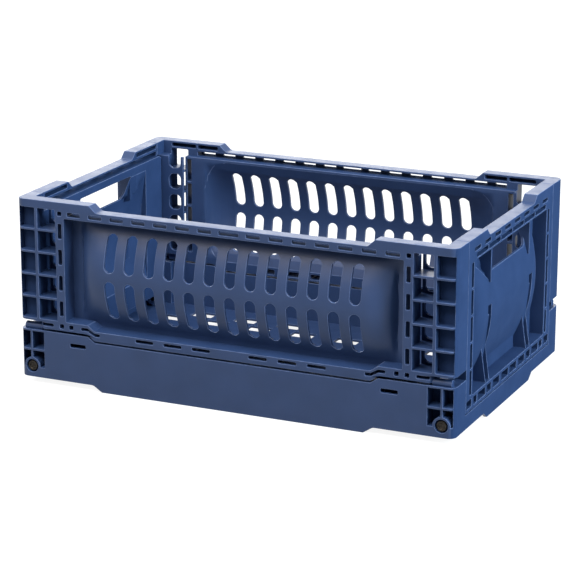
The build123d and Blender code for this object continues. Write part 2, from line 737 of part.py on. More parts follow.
with BuildPart() as front_left_pin:
    mirror(front_right_pin.part, about=Plane.YZ)
front_left_pin.part.label = "front_left_pin"
export_step(front_left_pin.part, "parts/front_left_pin.step")

with BuildPart() as back_right_pin:
    mirror(front_right_pin.part, about=Plane.XZ)
back_right_pin.part.label = "back_right_pin"
export_step(back_right_pin.part, "parts/back_right_pin.step")

with BuildPart() as back_left_pin:
    mirror(front_left_pin.part, about=Plane.XZ)
back_left_pin.part.label = "back_left_pin"
export_step(back_left_pin.part, "parts/back_left_pin.step")
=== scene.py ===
# %% [markdown]
# # A folding crate in navy plastic
#
# This lesson dresses the CAD model of a small folding crate for a picture. The crate comes apart into
# five mouldings and four metal pins. The CAD solids already have the right size, ribs and slots, but
# their edges are knife sharp and their curves are made of flats. A real moulding has none of that, so
# the lesson gives every piece its radii, its smooth bulges and its satin plastic.

import math

import bmesh
import bpy
from mathutils import Matrix, Vector
from mathutils.bvhtree import BVHTree


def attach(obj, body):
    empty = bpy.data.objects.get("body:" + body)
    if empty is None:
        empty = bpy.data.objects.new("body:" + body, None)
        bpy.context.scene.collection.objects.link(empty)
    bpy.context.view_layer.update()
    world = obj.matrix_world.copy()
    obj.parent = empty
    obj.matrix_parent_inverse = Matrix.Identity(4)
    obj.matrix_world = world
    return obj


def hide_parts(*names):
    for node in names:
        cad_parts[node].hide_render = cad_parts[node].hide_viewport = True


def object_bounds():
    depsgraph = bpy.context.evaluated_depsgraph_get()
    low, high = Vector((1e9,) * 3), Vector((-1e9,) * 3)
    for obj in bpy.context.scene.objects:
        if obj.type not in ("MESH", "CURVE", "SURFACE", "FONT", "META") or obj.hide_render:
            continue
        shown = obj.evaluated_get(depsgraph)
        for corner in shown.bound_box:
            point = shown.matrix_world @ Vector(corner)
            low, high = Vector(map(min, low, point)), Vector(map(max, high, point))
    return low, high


MM = 1000

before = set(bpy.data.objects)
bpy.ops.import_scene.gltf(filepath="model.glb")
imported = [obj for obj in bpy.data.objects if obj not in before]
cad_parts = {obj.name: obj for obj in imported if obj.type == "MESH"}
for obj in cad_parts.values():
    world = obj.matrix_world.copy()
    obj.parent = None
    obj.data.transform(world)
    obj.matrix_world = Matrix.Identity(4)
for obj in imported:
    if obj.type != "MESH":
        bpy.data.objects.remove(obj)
cad_low, cad_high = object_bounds()
print("CAD box in mm:", [round(MM * side, 1) for side in cad_high - cad_low])

# %% [markdown]
# ## Camera
#
# The crate stands a little turned, seen from above its front right corner. Its long edges hardly run
# together, which means a long lens from far away. A camera can be aimed with a constraint or by typing
# angles. Here its three directions are written out as the columns of its rotation, because a camera
# that is fitted to a picture comes out that way, and a small roll is added to the sideways one.

# %% Camera
LENS, SENSOR = 149.1, 36.0
STANDS_AT = (0.5447, -1.2108, 0.4363)
LOOKS_FROM = (0.3961, -0.8744, 0.2803)
LEVEL_RIGHT = (0.9109, 0.4126, 0.0)
ROLL = 0.0015

camera_data = bpy.data.cameras.new("Camera")
camera_data.lens = LENS
camera_data.sensor_width = SENSOR
camera = bpy.data.objects.new("Camera", camera_data)
bpy.context.collection.objects.link(camera)
back = Vector(LOOKS_FROM).normalized()
right = Vector(LEVEL_RIGHT).normalized()
right = (right + ROLL * back.cross(right)).normalized()
up = back.cross(right)
turn = Matrix((right, up, back)).transposed().to_4x4()
camera.matrix_world = Matrix.Translation(STANDS_AT) @ turn
bpy.context.scene.camera = camera
print("camera at", [round(c, 3) for c in camera.location])

# %% [markdown]
# ## From loose triangles to one skin
#
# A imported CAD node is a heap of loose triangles. Each has three points of its own, so nothing is joined
# to its neighbour. In Edit Mode, Merge by Distance mends that. The same operator is called here on a
# copy, which leaves the CAD mesh itself alone. The work is done in millimetres, because the operators
# are tuned to sizes of about one.

# %% Merge the points
TOUCHING = 0.01


def merged(node):
    bm = bmesh.new()
    bm.from_mesh(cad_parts[node].data)
    bmesh.ops.scale(bm, vec=(MM, MM, MM), verts=bm.verts)
    bmesh.ops.remove_doubles(bm, verts=bm.verts, dist=TOUCHING)
    bmesh.ops.recalc_face_normals(bm, faces=bm.faces)
    return bm


sample = merged("base_tray")
print("base tray:", len(sample.faces), "triangles on", len(sample.verts), "shared points")
sample.free()

# %% [markdown]
# ## Whole faces
#
# Dissolving the edges between triangles that lie in one plane gives back the faces that the solid had,
# and only then does a bevel see real edges. One trap is left. A face with holes in it can't be one
# polygon, so Blender keeps stray edges from hole to hole, and a bevel tangles on them. Cutting such a
# face straight through the middle of its holes first leaves nothing but plain polygons. Each cut is
# marked as a seam, and the dissolve stops at seams, as the small square below shows.

# %% Cut and join
X = Vector((1, 0, 0))
Y = Vector((0, 1, 0))
Z = Vector((0, 0, 1))
FLAT_TURN, JOIN_TURN = 1, 0.5


def bends(edge, least):
    return len(edge.link_faces) == 2 and edge.calc_face_angle() > math.radians(least)


def cut(bm, across, at, wanted, near=TOUCHING):
    faces = [face for face in bm.faces if wanted(face)]
    edges = dict.fromkeys(edge for face in faces for edge in face.edges)
    points = dict.fromkeys(point for face in faces for point in face.verts)
    made = bmesh.ops.bisect_plane(
        bm, geom=[*points, *edges, *faces], dist=near, plane_co=across * at, plane_no=across
    )
    for line in made["geom_cut"]:
        if isinstance(line, bmesh.types.BMEdge) and not bends(line, FLAT_TURN):
            line.seam = True


def join(bm):
    limit = math.radians(JOIN_TURN)
    bmesh.ops.dissolve_limit(bm, angle_limit=limit, verts=bm.verts, edges=bm.edges, delimit={"SEAM"})


square = bmesh.new()
bmesh.ops.create_grid(square, x_segments=1, y_segments=1, size=1.0)
cut(square, X, 0.0, lambda face: True)
join(square)
print("a square that is cut in two and joined again keeps", len(square.faces), "faces")
square.free()

# %% [markdown]
# ## Round corners
#
# A mould is milled with a round cutter, so the corners of slots and pockets are round. They could be
# picked by hand and bevelled, but there are hundreds of them. So they are found by what they are:
# hollow edges that run straight into the wall, with two rim edges at each end and neither of them
# steep. Square corners get a small radius. The blunt corners at the ends of the long slots get a larger
# one, which turns a slot end made of flats into a half circle.

# %% Round corners
CORNER, SLOT_END, CORNER_STEPS = 0.6, 1.1, 3
HOLLOW_TURN, SQUARE_TURN, RIM_TURN = 30, 60, 25
STRAIGHT_IN, STEEP = 0.99, 0.35


def climbs(edge, axis):
    start, end = edge.verts
    return abs(end.co[axis] - start.co[axis]) > STEEP * edge.calc_length()


def is_corner(edge, axis):
    run = edge.verts[1].co - edge.verts[0].co
    hollow = bends(edge, HOLLOW_TURN) and edge.calc_face_angle_signed() <= 0
    if not hollow or abs(run[axis]) < STRAIGHT_IN * run.length:
        return False
    for point in edge.verts:
        rim = [other for other in point.link_edges if other is not edge and bends(other, RIM_TURN)]
        if len(rim) != 2 or any(climbs(other, axis) for other in rim):
            return False
    return True


def bevelled(bm, edges, radius, steps):
    return bmesh.ops.bevel(
        bm, geom=edges, offset=radius, segments=steps, profile=0.5, affect="EDGES", material=-1,
        clamp_overlap=False,
    )


def round_corners(bm, axis):
    corners = [edge for edge in bm.edges if is_corner(edge, axis)]
    sharp = [edge for edge in corners if bends(edge, SQUARE_TURN)]
    blunt = [edge for edge in corners if not bends(edge, SQUARE_TURN)]
    bevelled(bm, sharp, CORNER, CORNER_STEPS)
    bevelled(bm, blunt, SLOT_END, CORNER_STEPS)
    return len(corners)


print("corner radii:", CORNER, "mm when square and", SLOT_END, "mm at slot ends")

# %% [markdown]
# ## Soft edges
#
# Every outer edge of a moulding has a radius of about a third of a millimetre, which catches the light
# as a thin bright line. A Bevel modifier could add it, but it would also reach the edges on the hidden
# back of a slotted wall, where the strips between the slots are too narrow for it. The operator takes
# only the edges it is given. The faces it makes are marked in a face layer, and the plastic below reads
# that layer and paints them paler: a painted highlight along every rounded edge.

# %% Soft edges
EDGE, EDGE_STEPS = 0.32, 2
EDGE_TURN, SHADING_TURN = 25, 40
SAME_PLANE, STRAIGHT_ON = 0.05, 0.9


def soften(bm, hidden_axis, hidden_place, radius=EDGE, stays=None):
    # The layer marks the bevel faces, which the plastic paints paler: a painted highlight along each
    # edge.
    edge_highlight = bm.faces.layers.float.new("edge_highlight")

    def hidden(face):
        place = face.calc_center_median()[hidden_axis]
        facing = face.normal[hidden_axis]
        level = abs(abs(place) - hidden_place) < SAME_PLANE
        return level and abs(facing) > STRAIGHT_ON and facing * place < 0

    edges = [edge for edge in bm.edges if bends(edge, EDGE_TURN) and edge.calc_face_angle_signed() > 0]
    edges = [edge for edge in edges if not any(hidden(face) for face in edge.link_faces)]
    if stays:
        edges = [edge for edge in edges if not all(stays(point.co) for point in edge.verts)]
    made = bevelled(bm, edges, radius, EDGE_STEPS)
    for face in made["faces"]:
        face[edge_highlight] = 1.0
    for edge in bm.edges:
        edge.smooth = not bends(edge, SHADING_TURN)
        edge.seam = False
    return len(edges)


print("edge radius:", EDGE, "mm in", EDGE_STEPS, "steps")

# %% [markdown]
# ## Shades and patterns
#
# The crate is moulded in polypropylene, an even navy. Looked at closely it is never one colour: the
# melt cools in clouds of slightly different shade. A paler navy on the rounded edges is a painted
# highlight. A photo of plastic could be wrapped round the crate, but it would need a map of the whole
# surface. Noise needs no map: it is read at each point's own place on the crate. These helpers make
# one noise, stretch it between two values and mix two colours by it.

# %% Shades and patterns
DEEP_NAVY = (0.024, 0.048, 0.122)
LIGHT_NAVY = (0.030, 0.058, 0.146)
# The paler navy below is a painted highlight for the rounded edges.
EDGE_HIGHLIGHT_NAVY = (0.115, 0.165, 0.310)
NOISE_LOW, NOISE_HIGH = 0.3, 0.7


def noise(nodes, links, coordinates, scale, detail):
    made = nodes.new("ShaderNodeTexNoise")
    made.inputs["Scale"].default_value = scale
    made.inputs["Detail"].default_value = detail
    links.new(coordinates, made.inputs["Vector"])
    return made.outputs["Fac"]


def remap(nodes, links, value, low, high):
    made = nodes.new("ShaderNodeMapRange")
    made.inputs["From Min"].default_value = NOISE_LOW
    made.inputs["From Max"].default_value = NOISE_HIGH
    made.inputs["To Min"].default_value = low
    made.inputs["To Max"].default_value = high
    links.new(value, made.inputs["Value"])
    return made.outputs["Result"]


def blend_colours(nodes, links, factor, first, second):
    made = nodes.new("ShaderNodeMix")
    made.data_type = "RGBA"
    links.new(factor, made.inputs["Factor"])
    for socket, colour in ((made.inputs["A"], first), (made.inputs["B"], second)):
        if isinstance(colour, tuple):
            socket.default_value = (*colour, 1.0)
        else:
            links.new(colour, socket)
    return made.outputs["Result"]


print("navy from", DEEP_NAVY, "to", LIGHT_NAVY, "and", EDGE_HIGHLIGHT_NAVY, "where it is rubbed")

# %% [markdown]
# ## Navy plastic, satin and a matt copy for painted shade
#
# The skin of a moulding copies the skin of the mould. The polished parts come out satin, with clouds of
# slightly different gloss. A copy with almost no shine and more roughness is painted shade: it takes the
# sheen off the end faces and off faces that lie in shade in pockets and under ledges. Both are the same
# plastic, so one function makes them, and only the shine and the roughness differ. The specular level
# is one number all over, so it is set on the shader itself. The grain is far too fine to model, and a
# weak bump stands for it.

# %% Navy plastic
CLOUDS, CLOUD_DETAIL = 55.0, 3.0
# A fine noise breaks up the painted edge highlight between these two amounts.
HIGHLIGHT_BREAKS, HIGHLIGHT_BREAK_DETAIL, HIGHLIGHT_LEAST, HIGHLIGHT_MOST = 240.0, 2.0, 0.35, 0.85
SHEEN_PATCHES, SHEEN_DETAIL, SHEEN_SPREAD = 130.0, 4.0, 0.05
GRAIN, GRAIN_DETAIL, GRAIN_STRENGTH, GRAIN_DEPTH = 3200.0, 2.0, 0.12, 0.00006


def plastic(name, shine, rough):
    material = bpy.data.materials.new(name)
    material.use_nodes = True
    nodes, links = material.node_tree.nodes, material.node_tree.links
    shader = nodes["Principled BSDF"]
    place = nodes.new("ShaderNodeTexCoord").outputs["Object"]
    clouds = remap(nodes, links, noise(nodes, links, place, CLOUDS, CLOUD_DETAIL), 0.0, 1.0)
    skin = blend_colours(nodes, links, clouds, DEEP_NAVY, LIGHT_NAVY)
    # Painted highlight: faces marked by the bevel get the paler navy, in patches.
    edge_highlight = nodes.new("ShaderNodeAttribute")
    edge_highlight.attribute_name = "edge_highlight"
    highlight_breaks = noise(nodes, links, place, HIGHLIGHT_BREAKS, HIGHLIGHT_BREAK_DETAIL)
    highlighted = nodes.new("ShaderNodeMath")
    highlighted.operation = "MULTIPLY"
    links.new(edge_highlight.outputs["Fac"], highlighted.inputs[0])
    links.new(remap(nodes, links, highlight_breaks, HIGHLIGHT_LEAST, HIGHLIGHT_MOST), highlighted.inputs[1])
    colour = blend_colours(nodes, links, highlighted.outputs["Value"], skin, EDGE_HIGHLIGHT_NAVY)
    links.new(colour, shader.inputs["Base Color"])
    shader.inputs["Specular IOR Level"].default_value = shine
    patches = noise(nodes, links, place, SHEEN_PATCHES, SHEEN_DETAIL)
    gloss = remap(nodes, links, patches, rough - SHEEN_SPREAD, rough + SHEEN_SPREAD)
    links.new(gloss, shader.inputs["Roughness"])
    bump = nodes.new("ShaderNodeBump")
    bump.inputs["Strength"].default_value = GRAIN_STRENGTH
    bump.inputs["Distance"].default_value = GRAIN_DEPTH
    links.new(noise(nodes, links, place, GRAIN, GRAIN_DETAIL), bump.inputs["Height"])
    links.new(bump.outputs["Normal"], shader.inputs["Normal"])
    return material


navy = plastic("navy_plastic", shine=0.3, rough=0.4)
# The matt copy is painted shade: faces in shade and on the ends lose their sheen.
shade_navy = plastic("matt_navy_plastic", shine=0.01, rough=0.68)
print("materials", navy.name, "and", shade_navy.name)

# %% [markdown]
# ## Painted shade: faces without sheen
#
# The matt copy of the plastic is painted shade: it takes the sheen off the faces of the two ends and
# off the floors of the pockets in the columns and the ledges inside the slots, which lie in shade.
# Painted by hand, they would have to be painted again after every change of shape. Three short tests
# find them instead. A face is dulled if it looks along the crate near an end, if it lies sunk behind the
# front of a column, or if it looks up and something covers it: rays go straight up from its corners.

# %% Painted shade: faces without sheen
ENDWISE, END_REACH = 0.6, 110
COLUMN_REACH, COLUMN_FACE = 105, 84.5
DRAWN_IN, LIFTED, COVERED_SHARE = 0.02, 0.05, 0.4


def covered(face, whole):
    middle = face.calc_center_median()
    starts = [point.co.lerp(middle, DRAWN_IN) + LIFTED * Z for point in face.verts]
    hits = [start for start in starts if whole.ray_cast(start, Z)[0] is not None]
    return len(hits) > COVERED_SHARE * len(starts)


# Painted shade: the faces found here get the matt copy, which takes their sheen off.
def dull_in_shade(bm):
    whole = BVHTree.FromBMesh(bm)
    for face in bm.faces:
        middle = face.calc_center_median()
        endwise = abs(face.normal.x) > ENDWISE and abs(middle.x) > END_REACH
        outward = math.copysign(face.normal.y, face.normal.y * middle.y) > STRAIGHT_ON
        sunk = outward and abs(middle.x) > COLUMN_REACH and abs(middle.y) < COLUMN_FACE
        shaded = face.normal.z > STRAIGHT_ON and covered(face, whole)
        face.material_index = int(endwise or sunk or shaded)


print("ends are dulled from", END_REACH, "mm and columns from", COLUMN_REACH, "mm off the middle")

# %% [markdown]
# ## One piece from one node
#
# Each moulding is one piece of the scene and takes the place of one CAD node. It rides on the body that
# the node belongs to. Smooth shading alone would make the large
# flat faces look swollen near their edges. A weighted-normal modifier keeps them flat and lets only the
# small radii turn.

# %% One piece from one node
LARGE_FACES_FIRST = 60


def finished(bm, name, node, body, material):
    # Painted shade: faces in shade and on the ends get the matt copy as a second material.
    if material is navy:
        dull_in_shade(bm)
    bmesh.ops.scale(bm, vec=(1 / MM, 1 / MM, 1 / MM), verts=bm.verts)
    mesh = bpy.data.meshes.new(name)
    bm.to_mesh(mesh)
    bm.free()
    mesh.materials.append(material)
    if material is navy:
        mesh.materials.append(shade_navy)
    for face in mesh.polygons:
        face.use_smooth = True
    piece = bpy.data.objects.new(name, mesh)
    bpy.context.collection.objects.link(piece)
    even = piece.modifiers.new("Even shading", "WEIGHTED_NORMAL")
    even.weight = LARGE_FACES_FIRST
    even.keep_sharp = True
    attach(piece, body)
    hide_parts(node)
    shade_count = sum(face.material_index for face in mesh.polygons)
    print(name, len(mesh.polygons), "faces,", shade_count, "of them dulled")
    return piece


print("nodes to dress:", len(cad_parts))

# %% [markdown]
# ## The curve of the bulged plates
#
# The plate of a long panel swells outwards like a pillow: an arch from its foot to its top, straight
# along the middle, and sinking to the frame at both ends. A sculpted or subdivided surface would be
# hard to keep level with the slots. A formula gives the same curve for the outside and the inside of
# the wall, which is only set back by its thickness. Where a bare arch would meet the frame in a sharp
# crease, ease lets it run out softly.

# %% The curve of the bulged plates
PLATE_MIDDLE, PLATE_HALF, PLATE_RISE = 67.6, 30.0, 10.0
STRAIGHT, RUN = 79.5, 15.5
WALL = 1.6
MARGIN_FACE = 76.6
FOOT_SOFTNESS, END_SOFTNESS, FALL_BEYOND = 0.07, 0.12, 4


def ease(value, softness):
    return (value + math.sqrt(value**2 + softness**2)) / 2


def swell(along, softness):
    whole = math.sqrt(1 - along**2) if along < 1 else FALL_BEYOND * (1 - along)
    return ease(whole, softness)


def pillow(point, inset):
    up = (point.z - PLATE_MIDDLE) / (PLATE_HALF - inset / 2)
    along = max(0.0, abs(point.x) - STRAIGHT) / (RUN - inset / 2)
    arch = PLATE_RISE * ease(1 - up**2, FOOT_SOFTNESS)
    return MARGIN_FACE - inset + arch * min(1.0, swell(along, END_SOFTNESS))


crown = pillow(Vector((0, 0, PLATE_MIDDLE)), 0.0)
print("the crown of the plate lies", round(crown, 2), "mm from the middle of the crate")

# %% [markdown]
# ## Bending the plates
#
# The CAD plate is an arch of flats. It is cut into many narrow strips, level ones, upright ones between
# the slots and close ones at the rounded ends. Then every point of it moves straight in or out onto the
# curve. The points move only in the direction in which the slots were cut, so the walls of the slots
# stay as they are.

# %% Bending the plates
OPENING = 102.35
OUTER_LOW, OUTER_HIGH = 35.6, 99.4
INNER_LOW, INNER_HIGH = 36.3, 98.7
A_HAIR, BEHIND_MARGIN, FACES_OUT = 0.1, 0.06, 0.2
LEVEL_CUTS, LEVEL_SHIFT = range(37, 99, 2), 0.25
SLOTS_EACH_SIDE, SLOT_PITCH = 6, 12.4
STRIPS, STRIP_MARGIN = 16, 1
PLATE_SNAP = 0.15


def cut_plate(bm, on_plate):
    for height in LEVEL_CUTS:
        cut(bm, Z, height + LEVEL_SHIFT, on_plate, PLATE_SNAP)
    for between in range(-SLOTS_EACH_SIDE, SLOTS_EACH_SIDE):
        cut(bm, X, (between + 0.5) * SLOT_PITCH, on_plate, PLATE_SNAP)
    for step in range(STRIPS):
        reach = OPENING - STRAIGHT - 2 * STRIP_MARGIN
        place = STRAIGHT + STRIP_MARGIN + reach * step / (STRIPS - 1)
        cut(bm, X, place, on_plate, PLATE_SNAP)
        cut(bm, X, -place, on_plate, PLATE_SNAP)


def smooth_plate(bm, side):
    outside = (0.0, OUTER_LOW, OUTER_HIGH)
    inside = (WALL, INNER_LOW - A_HAIR, INNER_HIGH + A_HAIR)
    for inset, low, high in (outside, inside):
        facing = side if inset == 0 else -side
        near = MARGIN_FACE - inset - BEHIND_MARGIN
        far = MARGIN_FACE - inset + PLATE_RISE + A_HAIR

        def in_reach(point):
            return near < side * point.y < far and abs(point.x) < OPENING and low < point.z < high

        def on_plate(face):
            return face.normal.y * facing > FACES_OUT and all(in_reach(p.co) for p in face.verts)

        cut_plate(bm, on_plate)
        points = {point for face in bm.faces if on_plate(face) for point in face.verts}
        moved = 0.0
        for point in points:
            place = side * pillow(point.co, inset)
            moved = max(moved, abs(place - point.co.y))
            point.co.y = place
        print("plate points", len(points), "moved at most", round(moved, 2), "mm")


print("each side of a plate gets", len(LEVEL_CUTS) + 2 * (SLOTS_EACH_SIDE + STRIPS), "cuts")

# %% [markdown]
# ## Cutting the frames through their holes
#
# The frame of a long panel has rows of slots in its rim and foot, windows in its columns and two rows
# of long slots in its plate. Each row is cut once at half its height, or between its slots, for the
# reason given above. Behind the plate lies a flat margin, which is cut along the outline of the hollow,
# so that the curve has a clean line to end on.

# %% Cutting the frames
SLOT_ROWS = (101.95, 106.2, 33.5)
FOOT_PLACES = (0.0, 26.1, -26.1, 43.7, -43.7, 61.3, -61.3)
FOOT_TOP = 36
FOOT_HOLES, FOOT_HOLES_FROM = 36.05, 88
COLUMN_WINDOWS, COLUMNS_FROM = (45.06, 58.28, 73.3, 86.2, 95.35), 97
PLATE_ROWS, PLATE_WITHIN = (82.35, 54.27), 103
HOLLOW_STEP = 0.15
FRONTWARD = 0.5


def fronts(face):
    return abs(face.normal.y) > FRONTWARD


def widest(face):
    return max(abs(p.co.x) for p in face.verts)


def in_foot(face):
    return abs(face.normal.y) > STRAIGHT_ON and all(p.co.z < FOOT_TOP for p in face.verts)


def panel_cuts(bm):
    for height in SLOT_ROWS:
        cut(bm, Z, height, fronts)
    for place in FOOT_PLACES:
        cut(bm, X, place, in_foot)
    cut(bm, Z, FOOT_HOLES, lambda face: fronts(face) and widest(face) > FOOT_HOLES_FROM)
    for height in COLUMN_WINDOWS:
        cut(bm, Z, height, lambda face: fronts(face) and widest(face) > COLUMNS_FROM)
    for height in PLATE_ROWS:
        cut(bm, Z, height, lambda face: fronts(face) and widest(face) < PLATE_WITHIN)


def frame_the_inside(bm, side):
    def inner(face):
        level = all(abs(side * p.co.y - MARGIN_FACE + WALL) < SAME_PLANE for p in face.verts)
        return level and face.normal.y * side < -STRAIGHT_ON

    for height in (INNER_LOW, INNER_HIGH):
        cut(bm, Z, height, inner)
    for place in (OPENING - HOLLOW_STEP, HOLLOW_STEP - OPENING):
        cut(bm, X, place, inner)


print("rows cut:", len(SLOT_ROWS) + len(COLUMN_WINDOWS) + len(PLATE_ROWS) + 1)

# %% [markdown]
# ## Long panels
#
# Now the two long panels are made, the same moulding turned round. The upper slots end a little lower
# than in the solids, so the points of their tops move down. The outline of the hollow behind the plate
# is a soft run-out and no edge, so it is named as a line that stays as it is: a bevel would give it a
# pale rim of painted highlight.

# %% Long panels
SLOT_TOP, SLOT_TOP_BAND, SLOT_DROP = 91.5, 3, 1.6
PANEL_FRONT = 86
RIM_INSIDE, RIM_NEAR = 1, 0.3
LONG_WALL_BACK = 85.4


def lower_slot_tops(bm):
    for point in bm.verts:
        at_top = SLOT_TOP < point.co.z < SLOT_TOP + SLOT_TOP_BAND
        if at_top and abs(point.co.x) < STRAIGHT and abs(point.co.y) < PANEL_FRONT:
            point.co.z -= SLOT_DROP


def hollow_rim(point):
    between = INNER_LOW + A_HAIR < point.z < INNER_HIGH - A_HAIR
    level = abs(abs(point.y) - MARGIN_FACE + WALL) < RIM_NEAR
    return abs(point.x) < OPENING - RIM_INSIDE and between and level


def long_panel(name, node, side):
    bm = merged(node)
    panel_cuts(bm)
    frame_the_inside(bm, side)
    join(bm)
    lower_slot_tops(bm)
    corners = round_corners(bm, 1)
    smooth_plate(bm, side)
    edges = soften(bm, 1, LONG_WALL_BACK, stays=hollow_rim)
    print(name, corners, "corners and", edges, "edges rounded")
    return finished(bm, name, node, "crate", navy)


long_panel("front_moulding", "front_panel", -1)
long_panel("back_moulding", "back_panel", 1)

# %% [markdown]
# ## Thumb scoops
#
# Beside the hand hole the end plate dips in two slanted scoops, where a thumb rests. They could be cut
# with a Boolean, which leaves ragged faces on so thin a wall. Here the plate is cut along the slant of
# the scoop, six times close together, and the formula says how far the bulge is let down at each point:
# fully above the slant, not at all below it, and along a smooth step between.

# %% Thumb scoops
SCOOP_SIDE, SCOOP_FOOT, SCOOP_SLOPE, SCOOP_DROP = 32.5, 78.0, 0.8, 2.4
SCOOP_CUTS = 6
END_SNAP = 0.05


def thumb_scoop(point):
    if abs(point.y) < SCOOP_SIDE:
        return 1.0
    edge = SCOOP_FOOT + SCOOP_SLOPE * (abs(point.y) - SCOOP_SIDE)
    down = min(max(0.0, (point.z - edge) / SCOOP_DROP), 1.0)
    return 1 - down**2 * (3 - 2 * down)


def cut_scoop(bm, side, on_bulge):
    def beside_hole(face):
        return on_bulge(face) and all(side * p.co.y > SCOOP_SIDE for p in face.verts)

    lean = Vector((0, -side * SCOOP_SLOPE, 1)).normalized()
    for step in range(SCOOP_CUTS):
        height = SCOOP_FOOT + SCOOP_DROP * step / (SCOOP_CUTS - 1)
        foot = Vector((0, side * SCOOP_SIDE, height))
        cut(bm, lean, lean.dot(foot), beside_hole, END_SNAP)


half_way = Vector((0, SCOOP_SIDE, SCOOP_FOOT + SCOOP_DROP / 2))
print("half way into a scoop", round(thumb_scoop(half_way), 2), "of the bulge is left")

# %% [markdown]
# ## Rounding the end plates
#
# The plate of an end panel is part of a cylinder, and in the solids it stops at both sides with a
# step. On the real crate it rounds off towards the frame. As on the long panels, it is cut into
# strips, closer together towards the side, and its points sink onto a curve.

# %% Rounding the end plates
END_CENTRE, END_HEIGHT, END_RADIUS = 57.3, 61.55, 75.0
END_MARGIN = 124.1
END_SIDE, END_RUN, END_PLATE_SOFTNESS = 40.0, 12.0, 0.1
END_STRIPS = (37.0, 38.5, 40.0, 42.0, 44.0, 45.8, 47.4, 48.7, 49.8, 50.8, 51.5)
NOT_SIDEWAYS = 0.5


def smooth_end(bm):
    for inset in (0.0, WALL):

        def on_arc(point):
            radius = math.hypot(abs(point.x) - END_CENTRE, point.z - END_HEIGHT)
            return abs(radius - END_RADIUS + inset) < A_HAIR

        def on_bulge(face):
            return abs(face.normal.y) < NOT_SIDEWAYS and all(on_arc(p.co) for p in face.verts)

        for side in (1, -1):
            cut_scoop(bm, side, on_bulge)
        for place in END_STRIPS:
            cut(bm, Y, place, on_bulge, END_SNAP)
            cut(bm, Y, -place, on_bulge, END_SNAP)
        points = {point for face in bm.faces if on_bulge(face) for point in face.verts}
        for point in points:
            along = max(0.0, abs(point.co.y) - END_SIDE) / (END_RUN - inset / 2)
            margin = END_MARGIN - inset
            rise = max(0.0, abs(point.co.x) - margin)
            place = margin + rise * min(1.0, swell(along, END_PLATE_SOFTNESS)) * thumb_scoop(point.co)
            point.co.x = math.copysign(place, point.co.x)
        print("end plate points", len(points))


print("the end plates bulge by", round(END_CENTRE + END_RADIUS - END_MARGIN, 2), "mm")

# %% [markdown]
# ## End panels
#
# An end panel has a hand hole under its rim, twin fins on its plate and lugs at its foot, with which it
# turns on the pins. The fins stand a little further apart than in the solids, so their points move out
# before anything is rounded. The rows of slots in the frame are cut through as before, and so are the
# lugs, whose pin holes would otherwise be holes in one face.

# %% End panels
FIN_PLACE, FIN_SPREAD, FIN_REACH = 34.0, 1.9, 2
FIN_LOW, FIN_HIGH, FIN_FROM = 20.5, 66, 124
END_SLOT_ROWS = (101.95, 106.2, 98.2, 16.6, 28.13, 43.19, 58.25, 73.31, 88.37)
PIN_HEIGHT = 10.2
CHEEK_CUTS, CHEEK_FROM, CHEEK_TO = range(26, 96, 6), 33, 53
QUITE_FLAT = 0.9999
END_WALL_BACK = 130.9


def widen_fins(bm):
    for point in bm.verts:
        out = abs(point.co.y) - FIN_PLACE
        on_plate = FIN_LOW < point.co.z < FIN_HIGH and abs(point.co.x) > FIN_FROM
        if abs(out) < FIN_REACH and on_plate:
            point.co.y += math.copysign(FIN_SPREAD, out * point.co.y)


def on_cheek(face):
    across = abs(face.normal.y) > STRAIGHT_ON
    return across and CHEEK_FROM < abs(face.calc_center_median().y) < CHEEK_TO


def end_panel(name, node, body):
    bm = merged(node)
    widen_fins(bm)
    for height in END_SLOT_ROWS:
        cut(bm, Z, height, lambda face: abs(face.normal.x) > QUITE_FLAT)
    cut(bm, Z, PIN_HEIGHT, lambda face: abs(face.normal.y) > STRAIGHT_ON)
    for height in CHEEK_CUTS:
        cut(bm, Z, height, on_cheek)
    join(bm)
    corners = round_corners(bm, 0)
    smooth_end(bm)
    edges = soften(bm, 0, END_WALL_BACK)
    print(name, corners, "corners and", edges, "edges rounded")
    return finished(bm, name, node, body, navy)


end_panel("right_end_moulding", "right_end", "right_flap")
end_panel("left_end_moulding", "left_end", "left_flap")

# %% [markdown]
# ## Base tray
#
# The tray carries everything: a floor with holes, a hollow skirt and four posts for the pins. Its shape
# is all in the solids, so it is only cut through its rows of holes, joined and rounded. Its corners run
# in two directions, across the crate in the skirt and upwards in the floor. Its edges get a slightly
# smaller radius, which leaves room between its close ribs.

# %% Base tray
FLOOR_ROWS = (45.6, 58.6, 81.0)
UNDERSIDE_ROW, UNDERSIDE_TOP = 19.0, 1
UNDERSIDE_PLACE = 20.03
SKIRT_ROWS = (25.5, 17.3)
PIN_PLACE = 125.1
SKIRT_BACK, TRAY_EDGE = 85.0, 0.28


def lowest(face):
    return face.normal.z < -STRAIGHT_ON and face.calc_center_median().z < UNDERSIDE_TOP


def base_tray(name, node):
    bm = merged(node)
    for row in FLOOR_ROWS:
        for place in (row, -row):
            cut(bm, Y, place, lambda face: abs(face.normal.z) > STRAIGHT_ON)
    for place in (UNDERSIDE_ROW, -UNDERSIDE_ROW):
        cut(bm, Y, place, lowest)
    cut(bm, X, UNDERSIDE_PLACE, lambda face: face.normal.z < -STRAIGHT_ON)
    for height in SKIRT_ROWS:
        cut(bm, Z, height, lambda face: abs(face.normal.y) > STRAIGHT_ON)
    for place in (PIN_PLACE, -PIN_PLACE):
        cut(bm, X, place, lambda face: abs(face.normal.y) > STRAIGHT_ON)
    join(bm)
    corners = round_corners(bm, 1) + round_corners(bm, 2)
    edges = soften(bm, 1, SKIRT_BACK, TRAY_EDGE)
    print(name, corners, "corners and", edges, "edges rounded")
    return finished(bm, name, node, "crate", navy)


base_tray("tray_moulding", "base_tray")

